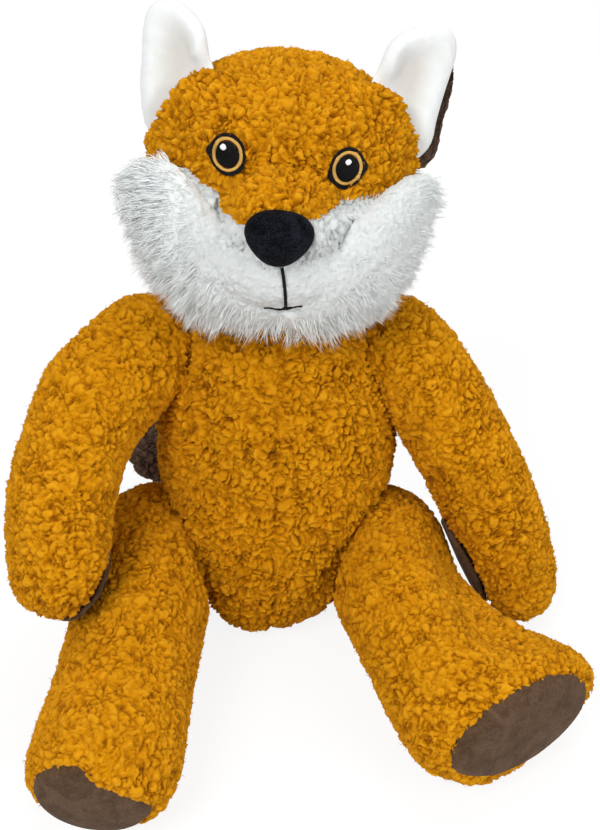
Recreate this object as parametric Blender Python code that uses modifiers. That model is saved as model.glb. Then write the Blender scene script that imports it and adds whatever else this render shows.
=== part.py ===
"""A plush fox sitting on the floor: sewn pile covers, felt and embroidered trim, and stuffing.

Metres, +Z up, the fox looks along -Y. The origin is the middle of its seat, on the floor.
Every soft piece is a coarse cage of rings, rounded by Subdivision Surface and cut by its neighbours.
"""

import math

import bmesh
import bpy
from mathutils import Matrix, Vector

# Cloth and seams
COVER_WALL = 0.0026
SEAM_GAP = 0.0004
STUFFING_GAP = 0.0007
PATCH_THICKNESS = 0.0012
SEWN_HOLE_RADIUS = 0.010
JOINT_CLEARANCE = 0.0008
FLOOR_FLAT_DEPTH = 0.0005

# Torso
TORSO_WIDTH = 0.112
TORSO_DEPTH = 0.096
NECK_HEIGHT = 0.159
RECLINE_DEG = 10.0
LEAN_DEG = 2.0
# Height above the seat as a share of the neck's, then half width, half depth and forward
# offset as shares of the torso's half width and half depth.
TORSO_RING_SHARES = (
    (0.00, 0.34, 0.56, 0.00),
    (0.07, 0.56, 0.84, 0.04),
    (0.26, 0.84, 1.02, 0.10),
    (0.50, 1.02, 1.04, 0.10),
    (0.72, 0.96, 0.94, 0.04),
    (0.90, 0.77, 0.78, 0.00),
    (1.08, 0.54, 0.62, 0.00),
)
TORSO_TOP_SHARE = 1.20

# Head, in a frame of its own at the middle of the skull
HEAD_WIDTH = 0.112
HEAD_DEPTH = 0.096
HEAD_HEIGHT = 0.088
HEAD_ABOVE_NECK = 0.060
HEAD_FORWARD = 0.009
HEAD_PITCH_DEG = 8.0
HEAD_ROLL_DEG = 5.5
# Height as a share of the head's half height, then half width and half depth as shares.
HEAD_RING_SHARES = (
    (0.94, 0.44, 0.44),
    (0.62, 0.84, 0.84),
    (0.10, 1.03, 1.03),
    (-0.36, 1.00, 1.00),
    (-0.80, 0.74, 0.76),
    (-1.24, 0.52, 0.56),
    (-1.60, 0.50, 0.54),
)
HEAD_TOP_SHARE = 1.04
HEAD_FOOT_SHARE = -1.75

# Golden top of the snout, running forward from the face and a little towards the fox's right
SNOUT_WIDTH = 0.052
SNOUT_HEIGHT = 0.040
SNOUT_LENGTH = 0.068
SNOUT_DROP = 0.005
SNOUT_ASIDE = 0.0018
# Distance forward as a share of the snout's length, then its width and height as shares.
SNOUT_RING_SHARES = (
    (0.10, 0.80, 0.80),
    (0.40, 1.04, 1.02),
    (0.68, 0.98, 0.94),
    (0.92, 0.64, 0.70),
)

# White muzzle under the snout
MUZZLE_WIDTH = 0.074
MUZZLE_HEIGHT = 0.046
MUZZLE_LENGTH = 0.068
MUZZLE_DROP = 0.024
MUZZLE_RING_SHARES = (
    (0.10, 0.80, 0.90),
    (0.45, 1.04, 1.04),
    (0.75, 0.92, 0.94),
    (0.95, 0.62, 0.66),
)

# Nose, eyes and mouth
NOSE_WIDTH = 0.029
NOSE_HEIGHT = 0.025
NOSE_DEPTH = 0.018
NOSE_DROP = 0.0078
# Height as a share of the nose's half height, then half width and half depth as shares.
NOSE_RING_SHARES = (
    (0.72, 0.80, 0.66),
    (0.22, 1.06, 1.04),
    (-0.34, 0.86, 0.96),
    (-0.80, 0.44, 0.58),
)
EYE_WIDTH = 0.0155
EYE_HEIGHT = 0.0160
EYE_SPREAD = 0.0276
EYE_LIFT = {"left": 0.0168, "right": 0.0145}
MOUTH_WIDTH = 0.0145
MOUTH_DROP = 0.0330
MOUTH_SLANT_DEG = 9.5
THREAD_WIDTH = 0.0024

# Cheek ruffs, each a broad pad from the temple round the jaw to the chin
RUFF_THICKNESS = 0.032
RUFF_WIDTH = 0.070
RUFF_BULGE = 0.012
# Its ends as shares of the head's half width, half depth and half height.
RUFF_START_SHARES = (1.14, -0.38, 0.10)
RUFF_END_SHARES = (-0.16, -0.80, -1.26)
# Distance along the ruff as a share, then its bulge, thickness and width as shares.
RUFF_RING_SHARES = (
    (0.10, 0.0, 0.60, 0.56),
    (0.36, 0.8, 1.00, 0.92),
    (0.64, 1.0, 1.04, 1.00),
    (0.90, 0.3, 0.84, 0.72),
)

# Ears
EAR_OUT = 0.0424
EAR_LIFT = 0.0265
EAR_FORWARD = 0.007
EAR_BASE_SLOPE_DEG = 52.0
EAR_LEAN_DEG = 31.0
EAR_BASE_WIDTH = 0.054
EAR_HEIGHT = 0.040
EAR_SKEW = {"left": 0.017, "right": 0.008}
EAR_HOLLOW = 0.003
EAR_LAYER = 0.0044
EAR_BEAD_RADIUS = 0.0046
EAR_BEAD_SHARE = 0.72
# Height as a share of the ear's, half width as a share of its base's, and how far the
# middle has moved as shares of the skew and of the hollow.
EAR_RING_SHARES = (
    (0.16, 0.86, 0.08, 0.2),
    (0.40, 0.94, 0.28, 0.8),
    (0.66, 0.68, 0.56, 1.0),
    (0.90, 0.40, 0.84, 0.6),
)

# Arms
ARM_RADIUS = 0.0232
SHOULDER_OUT = 0.0545
SHOULDER_HEIGHT = 0.131
SHOULDER_FORWARD = 0.004
ARM_LENGTH = 0.114
ARM_YAW_DEG = {"left": 23.8, "right": 59.5}
ARM_DROP_DEG = {"left": 29.5, "right": 56.6}
ARM_STRETCH_SHARES = {"left": 0.97, "right": 1.09}
ARM_BOW = {"left": 0.0175, "right": 0.006}
PALM_TURN_DEG = {"left": 46.0, "right": -8.0}
PALM_LENGTH = 0.036
PALM_WIDTH = 0.027
# Distance along the arm as a share of its length, then half width and half thickness as
# shares of the shoulder's radius.
ARM_GIRTH_SHARES = (
    (0.20, 1.04, 1.02),
    (0.48, 1.14, 1.04),
    (0.76, 1.12, 1.00),
    (1.00, 1.04, 0.92),
    (1.14, 0.72, 0.64),
)
ARM_TIP_SHARE = 1.20
BOW_RISE_SHARE = 0.6
PALM_PLACE_SHARE = 0.98

# Legs
LEG_RADIUS = 0.0285
HIP_OUT = 0.053
HIP_HEIGHT = 0.040
HIP_FORWARD = 0.012
LEG_LENGTH = 0.131
LEG_SPLAY_DEG = {"left": 6.4, "right": 25.4}
LEG_STRETCH_SHARES = {"left": 1.055, "right": 0.89}
KNEE_LIFT = {"left": 0.000, "right": 0.004}
KNEE_INWARD = {"left": 0.001, "right": 0.009}
FOOT_SPREAD_SHARES = {"left": 1.07, "right": 1.45}
SOLE_TILT_DEG = {"left": 0.0, "right": 9.0}
# The room that the seat needs inside a swinging leg, round the hip's axis: its two ends' places
# inwards from the hip and their radii, as shares of the hip's radius.
HIP_ROOM_SHARES = ((1.10, 1.56), (0.38, 0.84))
FOOT_SHARE = 1.04
SOLE_THICKNESS = 0.0034
# Distance along the leg as a share of its length, then half width and half height as shares
# of the hip's radius.
LEG_GIRTH_SHARES = (
    (0.22, 1.06, 1.02),
    (0.48, 1.02, 0.97),
    (0.72, 1.03, 0.98),
    (0.92, 1.10, 1.03),
    (1.03, 0.88, 0.82),
)
LEG_TIP_SHARE = 1.12

# Tail, lying on the floor and curling round to the fox's right
TAIL_RADIUS = 0.0225
TAIL_ROOT_RADIUS = 0.015
TAIL_BACK = 0.051
TAIL_HEIGHT = 0.0215
TAIL_CURL_RADIUS = 0.037
TAIL_CURL_DEG = 150.0
TAIL_TIP_RISE = 0.018
TAIL_TIP_SHARE = 0.62
TAIL_GIRTH_SHARES = (
    (0.16, 0.72, 0.72),
    (0.36, 0.94, 0.94),
    (0.56, 1.04, 1.04),
    (0.76, 1.00, 1.00),
    (0.94, 0.70, 0.70),
)
TAIL_END_SHARE = 1.06

# Facets
LIMB_SIDES = 8
BODY_SIDES = 12
INNER_SIDES = 6
TRIM_SIDES = 6
BALL_SEGMENTS = 24
BALL_RINGS = 12
DOME_DEGS = (-58.0, -20.0)
DOME_SWELL_SHARE = 1.062
PATH_STEP_SHARE = 0.02
OVERRUN = 0.060

ZERO = Vector((0, 0, 0))
UP = Vector((0, 0, 1))


def clear_scene():
    for obj in list(bpy.data.objects):
        bpy.data.objects.remove(obj)


def new_collection(name):
    collection = bpy.data.collections.new(name)
    bpy.context.scene.collection.children.link(collection)
    return collection


def new_material(name, colour, roughness):
    material = bpy.data.materials.new(name)
    material.use_nodes = True
    shader = material.node_tree.nodes["Principled BSDF"]
    shader.inputs["Base Color"].default_value = (*colour, 1.0)
    shader.inputs["Roughness"].default_value = roughness
    shader.inputs["Metallic"].default_value = 0.0
    material.diffuse_color = (*colour, 1.0)
    return material


clear_scene()
FOX = new_collection("plush_fox")
CUTTERS = new_collection("cutters")

GOLDEN_PILE = new_material("golden_pile", (0.68, 0.30, 0.03), 0.95)
BROWN_PILE = new_material("brown_pile", (0.10, 0.055, 0.035), 0.95)
BROWN_PLUSH = new_material("brown_plush", (0.13, 0.075, 0.05), 0.8)
WHITE_PILE = new_material("white_pile", (0.86, 0.85, 0.82), 0.9)
WHITE_PLUSH = new_material("white_plush", (0.88, 0.88, 0.86), 0.7)
BLACK_FELT = new_material("black_felt", (0.012, 0.012, 0.014), 0.9)
EYE_THREAD = new_material("eye_thread", (0.02, 0.016, 0.014), 0.5)
MOUTH_THREAD = new_material("mouth_thread", (0.014, 0.013, 0.013), 0.8)
STUFFING = new_material("stuffing", (0.85, 0.85, 0.83), 1.0)


def turn(degrees, axis):
    return Matrix.Rotation(math.radians(degrees), 4, axis)


def facing(place, direction):
    """A frame at a place with its +Z along a direction."""
    return Matrix.Translation(place) @ direction.to_track_quat("Z", "Y").to_matrix().to_4x4()


# The torso leans back and a little to its left, and the head turns on the same line.
LEAN = turn(LEAN_DEG, "Y") @ turn(-RECLINE_DEG, "X")
TORSO_LINE = (LEAN @ UP).normalized()
NECK = TORSO_LINE * (NECK_HEIGHT / TORSO_LINE.z)
HEAD = NECK + TORSO_LINE * HEAD_ABOVE_NECK - Vector((0, HEAD_FORWARD, 0))
HEAD_FRAME = Matrix.Translation(HEAD) @ turn(HEAD_ROLL_DEG, "Y") @ turn(-HEAD_PITCH_DEG, "X")
SIDE = {"left": -1, "right": 1}


def spine(height):
    """The torso's middle line at a height above the floor."""
    return TORSO_LINE * (height / TORSO_LINE.z)


def swell(sides):
    """How much wider than its rounded ring a cage's ring has to be."""
    return 8 / (6 + 2 * math.cos(2 * math.pi / sides))


def link(name, mesh, material=None):
    """An object in the model if it has a material, and a cutter if it has none."""
    obj = bpy.data.objects.new(name, mesh)
    if material is None:
        CUTTERS.objects.link(obj)
        obj.hide_render = True
        obj.display_type = "WIRE"
    else:
        FOX.objects.link(obj)
        mesh.materials.append(material)
        mesh.shade_smooth()
    return obj


def mesh_from(name, bm):
    """The finished mesh, with its faces pointing out."""
    bmesh.ops.recalc_face_normals(bm, faces=bm.faces)
    if bm.calc_volume(signed=True) < 0:
        bmesh.ops.reverse_faces(bm, faces=bm.faces)
    mesh = bpy.data.meshes.new(name)
    bm.to_mesh(mesh)
    bm.free()
    return mesh


def form(name, rings, sides, material=None):
    """A closed soft shape through rings of (centre, across, along), with a pole at each end."""
    bm = bmesh.new()
    last = len(rings) - 1
    bmesh.ops.create_uvsphere(bm, u_segments=sides, v_segments=last, radius=1)
    wider = swell(sides)
    for vert in bm.verts:
        row = round(math.acos(max(-1.0, min(1.0, vert.co.z))) / math.pi * last)
        angle = math.atan2(vert.co.y, vert.co.x)
        centre, across, along = rings[row]
        vert.co = centre + (across * math.cos(angle) + along * math.sin(angle)) * wider
    obj = link(name, mesh_from(name, bm), material)
    rounding = obj.modifiers.new("round", "SUBSURF")
    rounding.levels = 1
    rounding.render_levels = 1
    return obj


def boolean(obj, others, operation):
    for other in others:
        modifier = obj.modifiers.new(f"{operation.lower()} {other.name}", "BOOLEAN")
        modifier.operation = operation
        modifier.object = other
        modifier.solver = "EXACT"
    return obj


def cut(obj, *cutters):
    return boolean(obj, cutters, "DIFFERENCE")


def keep(obj, *cutters):
    return boolean(obj, cutters, "INTERSECT")


def join(obj, *others):
    return boolean(obj, others, "UNION")


def ball(name, centre, radius):
    bm = bmesh.new()
    bmesh.ops.create_uvsphere(bm, u_segments=BALL_SEGMENTS, v_segments=BALL_RINGS, radius=radius)
    obj = link(name, mesh_from(name, bm))
    obj.location = centre
    return obj


def rod(name, start, end, radius):
    """A cutter: a round rod between two points."""
    bm = bmesh.new()
    line = end - start
    bmesh.ops.create_cone(
        bm, cap_ends=True, segments=BALL_SEGMENTS, radius1=radius, radius2=radius, depth=line.length
    )
    obj = link(name, mesh_from(name, bm))
    obj.matrix_world = facing((start + end) / 2, line)
    return obj


def box(name, frame, low, high):
    """A cutter: a box between two corners in a frame."""
    bm = bmesh.new()
    bmesh.ops.create_cube(bm, size=1)
    bmesh.ops.scale(bm, vec=high - low, verts=bm.verts)
    bmesh.ops.translate(bm, vec=(low + high) / 2, verts=bm.verts)
    obj = link(name, mesh_from(name, bm))
    obj.matrix_world = frame
    return obj


def hang(name, place, *objects):
    """Parent pieces to an empty on their joint, each with its own origin there too."""
    empty = bpy.data.objects.new(name, None)
    FOX.objects.link(empty)
    empty.location = place
    for obj in objects:
        obj.data.transform(Matrix.Translation(-place) @ obj.matrix_world)
        obj.matrix_world = Matrix.Identity(4)
        obj.parent = empty


# Planes that several pieces share
REACH = HEAD_WIDTH * 2
FLOOR = box(
    "floor_cutter", Matrix.Identity(4), Vector((-REACH, -REACH, -OVERRUN)), Vector((REACH, REACH, 0))
)
NECK_FRAME = facing(NECK, TORSO_LINE)
ABOVE_NECK = box(
    "above_neck_cutter", NECK_FRAME, Vector((-REACH, -REACH, 0)), Vector((REACH, REACH, OVERRUN))
)
BELOW_NECK = box(
    "below_neck_cutter", NECK_FRAME, Vector((-REACH, -REACH, -OVERRUN)), Vector((REACH, REACH, SEAM_GAP))
)


def torso_rings(more=0.0):
    """The torso's rings, level with the floor, up its leaning middle line."""
    half_width = TORSO_WIDTH / 2
    half_depth = TORSO_DEPTH / 2
    rings = [(Vector((0, 0, -FLOOR_FLAT_DEPTH - more)), ZERO, ZERO)]
    for height, wide, deep, forward in TORSO_RING_SHARES:
        centre = spine(height * NECK_HEIGHT) - Vector((0, forward * half_depth, 0))
        if height == 0:
            centre.z = -FLOOR_FLAT_DEPTH - more
        across = Vector((wide * half_width + more, 0, 0))
        along = Vector((0, deep * half_depth + more, 0))
        rings.append((centre, across, along))
    rings.append((spine(TORSO_TOP_SHARE * NECK_HEIGHT + more), ZERO, ZERO))
    return rings


def heading(path, share):
    """The way a path runs at a share of its length."""
    return (path(share + PATH_STEP_SHARE) - path(share - PATH_STEP_SHARE)).normalized()


def limb_rings(path, flat_line, root_radius, radius, girths, tip_share, spread=1.0, more=0.0):
    """Rings along a limb's path: a round dome behind its start, then the girths, then its tip."""
    start = path(0.0)
    ahead = (path(PATH_STEP_SHARE) - start).normalized()

    def ring(centre, line, wide, thick):
        along = (flat_line - line * flat_line.dot(line)).normalized()
        across = line.cross(along)
        return centre, across * (wide + more), along * (thick + more)

    dome = root_radius * DOME_SWELL_SHARE
    rings = [(start - ahead * (dome + more), ZERO, ZERO)]
    for degrees in DOME_DEGS:
        angle = math.radians(degrees)
        girth = dome * math.cos(angle)
        rings.append(ring(start + ahead * dome * math.sin(angle), ahead, girth, girth))
    for share, wide, thick in girths:
        wider = 1 + (spread - 1) * min(1.0, share)
        rings.append(ring(path(share), heading(path, share), wide * wider * radius, thick * radius))
    rings.append((path(tip_share) + heading(path, tip_share) * more, ZERO, ZERO))
    return rings


def straight(start, line, length, bow_line, bow):
    """A path that bows sideways in the middle and runs on straight past its end."""

    def path(share):
        inner = min(1.0, max(0.0, share))
        return start + line * length * share + bow_line * bow * math.sin(math.pi * inner)

    return path


def arm_path(side):
    """From the middle of the shoulder to the middle of the hand."""
    yaw = math.radians(ARM_YAW_DEG[side])
    drop = math.radians(ARM_DROP_DEG[side])
    level = math.cos(drop)
    line = Vector((SIDE[side] * level * math.sin(yaw), -level * math.cos(yaw), -math.sin(drop)))
    outward = Vector((SIDE[side], 0, BOW_RISE_SHARE))
    outward = (outward - line * outward.dot(line)).normalized()
    return straight(shoulder(side), line, ARM_LENGTH * ARM_STRETCH_SHARES[side], outward, ARM_BOW[side])


def leg_path(side):
    """From the middle of the hip to the middle of the sole."""
    splay = math.radians(LEG_SPLAY_DEG[side])
    length = LEG_LENGTH * LEG_STRETCH_SHARES[side]
    sole_height = LEG_RADIUS * FOOT_SHARE - FLOOR_FLAT_DEPTH
    drop = math.asin((HIP_HEIGHT - sole_height) / length)
    level = math.cos(drop)
    line = Vector((SIDE[side] * level * math.sin(splay), -level * math.cos(splay), -math.sin(drop)))
    bow = Vector((-SIDE[side] * KNEE_INWARD[side], 0, KNEE_LIFT[side]))
    return straight(hip(side), line, length, bow, 1.0)


def tail_path(share):
    """Round an arc from the back of the seat towards the fox's right, rising to the tip."""
    angle = math.radians(TAIL_CURL_DEG) * share
    across = -TAIL_CURL_RADIUS * (1 - math.cos(angle))
    back = TAIL_CURL_RADIUS * math.sin(angle)
    rise = TAIL_TIP_RISE * max(0.0, share) ** 2
    return TAIL_ROOT + Vector((across, back, rise))


def shoulder(side):
    return spine(SHOULDER_HEIGHT) + Vector((SIDE[side] * SHOULDER_OUT, -SHOULDER_FORWARD, 0))


def hip(side):
    return Vector((SIDE[side] * HIP_OUT, -HIP_FORWARD, HIP_HEIGHT))


def palm_line(side):
    """The way the palm faces: in towards the leg, and turned down."""
    angle = math.radians(PALM_TURN_DEG[side])
    return Vector((-SIDE[side] * math.cos(angle), 0, -math.sin(angle)))


TAIL_ROOT = Vector((0, TAIL_BACK, TAIL_HEIGHT))


def arm_rings(side, more=0.0):
    return limb_rings(
        arm_path(side),
        palm_line(side),
        ARM_RADIUS,
        ARM_RADIUS,
        ARM_GIRTH_SHARES,
        ARM_TIP_SHARE,
        more=more,
    )


def leg_rings(side, more=0.0):
    return limb_rings(
        leg_path(side),
        UP,
        LEG_RADIUS,
        LEG_RADIUS,
        LEG_GIRTH_SHARES,
        LEG_TIP_SHARE,
        FOOT_SPREAD_SHARES[side],
        more,
    )


def tail_rings(more=0.0):
    return limb_rings(
        tail_path, UP, TAIL_ROOT_RADIUS, TAIL_RADIUS, TAIL_GIRTH_SHARES, TAIL_END_SHARE, more=more
    )


def in_head(x, y, z):
    """A place given in the head's own frame."""
    return HEAD_FRAME @ Vector((x, y, z))


def head_line(x, y, z):
    """A direction or a half axis given in the head's own frame."""
    return HEAD_FRAME.to_3x3() @ Vector((x, y, z))


def head_rings(more=0.0):
    half_height = HEAD_HEIGHT / 2
    rings = [(in_head(0, 0, HEAD_TOP_SHARE * half_height + more), ZERO, ZERO)]
    for height, wide, deep in HEAD_RING_SHARES:
        across = head_line(wide * HEAD_WIDTH / 2 + more, 0, 0)
        along = head_line(0, deep * HEAD_DEPTH / 2 + more, 0)
        rings.append((in_head(0, 0, height * half_height), across, along))
    rings.append((in_head(0, 0, HEAD_FOOT_SHARE * half_height - more), ZERO, ZERO))
    return rings


def forward_rings(shares, length, width, height, drop, more):
    """Rings of a bulge that runs forward out of the face."""
    rings = [(in_head(0, 0, -drop), ZERO, ZERO)]
    for forward, wide, tall in shares:
        across = head_line(wide * width / 2 + more, 0, 0)
        along = head_line(0, 0, tall * height / 2 + more)
        rings.append((in_head(-SNOUT_ASIDE * forward, -forward * length, -drop), across, along))
    rings.append((in_head(-SNOUT_ASIDE, -length - more, -drop), ZERO, ZERO))
    return rings


def snout_rings(more=0.0):
    return forward_rings(SNOUT_RING_SHARES, SNOUT_LENGTH, SNOUT_WIDTH, SNOUT_HEIGHT, SNOUT_DROP, more)


def muzzle_rings(more=0.0):
    return forward_rings(
        MUZZLE_RING_SHARES, MUZZLE_LENGTH, MUZZLE_WIDTH, MUZZLE_HEIGHT, MUZZLE_DROP, more
    )


def nose_rings():
    """A rounded triangle, wide at the top."""
    half_height = NOSE_HEIGHT / 2
    middle = in_head(-SNOUT_ASIDE, -SNOUT_LENGTH, -NOSE_DROP)
    rings = [(middle + head_line(0, 0, half_height), ZERO, ZERO)]
    for height, wide, deep in NOSE_RING_SHARES:
        across = head_line(wide * NOSE_WIDTH / 2, 0, 0)
        along = head_line(0, deep * NOSE_DEPTH / 2, 0)
        rings.append((middle + head_line(0, 0, height * half_height), across, along))
    rings.append((middle - head_line(0, 0, half_height), ZERO, ZERO))
    return rings


def ruff_rings(side):
    """A pad across the cheek, past the middle of the chin."""
    half = Vector((SIDE[side] * HEAD_WIDTH / 2, HEAD_DEPTH / 2, HEAD_HEIGHT / 2))
    start = in_head(*(share * size for share, size in zip(RUFF_START_SHARES, half)))
    end = in_head(*(share * size for share, size in zip(RUFF_END_SHARES, half)))
    line = (end - start).normalized()
    outward = (start + end) / 2 - HEAD
    outward = (outward - line * outward.dot(line)).normalized()
    tangent = line.cross(outward)
    rings = [(start, ZERO, ZERO)]
    for share, bulge, thick, wide in RUFF_RING_SHARES:
        centre = start.lerp(end, share) + outward * bulge * RUFF_BULGE
        across = outward * thick * RUFF_THICKNESS / 2
        rings.append((centre, across, tangent * wide * RUFF_WIDTH / 2))
    rings.append((end, ZERO, ZERO))
    return rings


def ear_lines(side):
    """The ear's middle on the head, then the ways its base, its point and its lining face."""
    slope = math.radians(EAR_BASE_SLOPE_DEG)
    lean = math.radians(EAR_LEAN_DEG)
    middle = in_head(SIDE[side] * EAR_OUT, -EAR_FORWARD, EAR_LIFT)
    base = head_line(-SIDE[side] * math.cos(slope), 0, math.sin(slope))
    outward = head_line(SIDE[side] * math.sin(slope), 0, math.cos(slope))
    point = outward * math.cos(lean) + head_line(0, 1, 0) * math.sin(lean)
    front = point.cross(base) * SIDE[side]
    return middle, base, point, front


def ear_rings(side, offset, start):
    """One layer of the ear, offset forward or back from its middle."""
    middle, base, point, front = ear_lines(side)
    middle = middle + front * offset
    rings = [(middle + point * start, ZERO, ZERO)]
    for height, wide, skew, hollow in EAR_RING_SHARES:
        centre = middle + point * height * EAR_HEIGHT
        centre += base * skew * EAR_SKEW[side] - front * hollow * EAR_HOLLOW
        rings.append((centre, base * wide * EAR_BASE_WIDTH / 2, front * EAR_LAYER / 2))
    rings.append((middle + point * EAR_HEIGHT + base * EAR_SKEW[side], ZERO, ZERO))
    return rings


def oval(name, place, direction, upward, width, height, depth):
    """A cutter: an oval prism that runs both ways from a place."""
    bm = bmesh.new()
    bmesh.ops.create_cone(bm, cap_ends=True, segments=BALL_SEGMENTS, radius1=1, radius2=1, depth=2)
    bmesh.ops.scale(bm, vec=Vector((width / 2, height / 2, depth / 2)), verts=bm.verts)
    obj = link(name, mesh_from(name, bm))
    line = direction.normalized()
    side = upward.cross(line).normalized()
    frame = Matrix((side, line.cross(side), line)).transposed().to_4x4()
    obj.matrix_world = Matrix.Translation(place) @ frame
    return obj


def patch(name, rings, sides, material, outline):
    """A thin piece that lies on a form, inside an outline."""
    piece = form(name, rings(SEAM_GAP + PATCH_THICKNESS), sides, material)
    keep(piece, outline)
    cut(piece, form(f"{name}_under", rings(SEAM_GAP), sides))
    return piece


def seam_hole(name, centre, direction, radius):
    """The mouth of a sewn tube, where its stuffing was pushed in."""
    return rod(name, centre, centre + direction * radius * 2, SEWN_HOLE_RADIUS)


def torso_room(name, centre, radius):
    """The torso without the hollow where a limb turns: what the limb's end is cut by."""
    bulk = form(name, torso_rings(SEAM_GAP), BODY_SIDES)
    return cut(bulk, ball(f"{name}_ball", centre, radius + JOINT_CLEARANCE - SEAM_GAP))


def hip_room(side):
    """What the seat sweeps inside a leg that swings down, without the leg's own round end."""
    (near, near_radius), (far, far_radius) = HIP_ROOM_SHARES
    inward = Vector((-SIDE[side] * LEG_RADIUS, 0, 0))
    start = hip(side) + inward * far
    end = hip(side) + inward * near
    bm = bmesh.new()
    bmesh.ops.create_cone(
        bm,
        cap_ends=True,
        segments=BALL_SEGMENTS,
        radius1=far_radius * LEG_RADIUS,
        radius2=near_radius * LEG_RADIUS,
        depth=(end - start).length,
    )
    room = link(f"hip_room_{side}", mesh_from(f"hip_room_{side}", bm))
    room.matrix_world = facing((start + end) / 2, inward)
    return cut(room, ball(f"hip_room_{side}_ball", hip(side), LEG_RADIUS + SEAM_GAP))


def make_torso():
    inner = form("torso_inner", torso_rings(-COVER_WALL), LIMB_SIDES)
    stuffing = form("torso_stuffing", torso_rings(-COVER_WALL - STUFFING_GAP), LIMB_SIDES, STUFFING)
    hollows = [ball("tail_hollow", TAIL_ROOT, TAIL_ROOT_RADIUS + SEAM_GAP)]
    for side in SIDE:
        hollows.append(ball(f"shoulder_{side}_hollow", shoulder(side), ARM_RADIUS + JOINT_CLEARANCE))
        hollows.append(ball(f"hip_{side}_hollow", hip(side), LEG_RADIUS + JOINT_CLEARANCE))
    seam = SEAM_GAP / 2
    halves = {
        "left": box("right_of_seam", LEAN, Vector((-seam, -REACH, -REACH)), Vector((REACH, REACH, REACH))),
        "right": box("left_of_seam", LEAN, Vector((-REACH, -REACH, -REACH)), Vector((seam, REACH, REACH))),
    }
    for side, other_half in halves.items():
        cover = form(f"torso_cover_{side}", torso_rings(), BODY_SIDES, GOLDEN_PILE)
        cut(cover, inner, ABOVE_NECK, FLOOR, *hollows, other_half)
    cut(stuffing, ABOVE_NECK, *hollows)


def make_arm(side):
    centre = shoulder(side)
    path = arm_path(side)
    room = torso_room(f"arm_{side}_room", centre, ARM_RADIUS)
    cover = form(f"arm_{side}_cover", arm_rings(side), LIMB_SIDES, GOLDEN_PILE)
    inner = form(f"arm_{side}_inner", arm_rings(side, -COVER_WALL), INNER_SIDES)
    hole = seam_hole(f"arm_{side}_mouth", centre, Vector((-SIDE[side], 0, 0)), ARM_RADIUS)
    cut(cover, inner, room, hole)
    stuffing = form(
        f"arm_{side}_stuffing", arm_rings(side, -COVER_WALL - STUFFING_GAP), INNER_SIDES, STUFFING
    )
    cut(stuffing, room)
    line = palm_line(side)
    hand = path(PALM_PLACE_SHARE)
    outline = oval(
        f"palm_{side}_outline",
        hand + line * ARM_RADIUS,
        line,
        heading(path, 1.0),
        PALM_WIDTH,
        PALM_LENGTH,
        ARM_RADIUS * 2,
    )
    pad = patch(
        f"palm_pad_{side}", lambda more: arm_rings(side, more), LIMB_SIDES, BROWN_PLUSH, outline
    )
    hang(f"shoulder_{side}_joint", centre, cover, stuffing, pad)


def make_leg(side):
    centre = hip(side)
    path = leg_path(side)
    line = heading(path, 1.0)
    sideways = line.cross(UP).normalized()
    sole_line = Matrix.Rotation(math.radians(SOLE_TILT_DEG[side]), 3, sideways) @ line
    end_frame = facing(path(1.0), sole_line)
    room = torso_room(f"leg_{side}_room", centre, LEG_RADIUS)
    hip_room_cutter = hip_room(side)
    low = Vector((-OVERRUN, -OVERRUN, 0))
    high = Vector((OVERRUN, OVERRUN, 0))
    beyond = box(f"beyond_sole_{side}", end_frame, low, high + UP * OVERRUN)
    sole_low = low + UP * SEAM_GAP
    sole_slab = box(f"sole_slab_{side}", end_frame, sole_low, high + UP * (SEAM_GAP + SOLE_THICKNESS))
    cover = form(f"leg_{side}_cover", leg_rings(side), LIMB_SIDES, GOLDEN_PILE)
    inner = form(f"leg_{side}_inner", leg_rings(side, -COVER_WALL), INNER_SIDES)
    hole = seam_hole(f"leg_{side}_mouth", centre, Vector((-SIDE[side], 0, 0)), LEG_RADIUS)
    cut(cover, inner, room, hip_room_cutter, hole, beyond, FLOOR)
    stuffing = form(
        f"leg_{side}_stuffing", leg_rings(side, -COVER_WALL - STUFFING_GAP), INNER_SIDES, STUFFING
    )
    cut(stuffing, room, hip_room_cutter, beyond)
    sole = form(f"sole_pad_{side}", leg_rings(side), LIMB_SIDES, BROWN_PLUSH)
    keep(sole, sole_slab)
    hang(f"hip_{side}_joint", centre, cover, stuffing, sole)


def make_tail():
    place = tail_path(TAIL_TIP_SHARE)
    line = heading(tail_path, TAIL_TIP_SHARE)
    reach = Vector((REACH, REACH, 0))
    beyond = box("tail_beyond", facing(place - line * SEAM_GAP, line), -reach, reach + UP * REACH)
    before = box("tail_before", facing(place, line), -reach - UP * REACH, reach)
    room = torso_room("tail_room", TAIL_ROOT, TAIL_ROOT_RADIUS)
    inner = form("tail_inner", tail_rings(-COVER_WALL), INNER_SIDES)
    cover = form("tail_cover", tail_rings(), LIMB_SIDES, GOLDEN_PILE)
    hole = seam_hole("tail_mouth", TAIL_ROOT, Vector((0, -1, 0)), TAIL_ROOT_RADIUS)
    cut(cover, inner, room, hole, FLOOR, beyond)
    tip = form("tail_tip", tail_rings(), LIMB_SIDES, BROWN_PILE)
    cut(tip, inner, FLOOR, before)
    stuffing = form("tail_stuffing", tail_rings(-COVER_WALL - STUFFING_GAP), INNER_SIDES, STUFFING)
    cut(stuffing, room)
    hang("tail_joint", TAIL_ROOT, cover, tip, stuffing)


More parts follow.
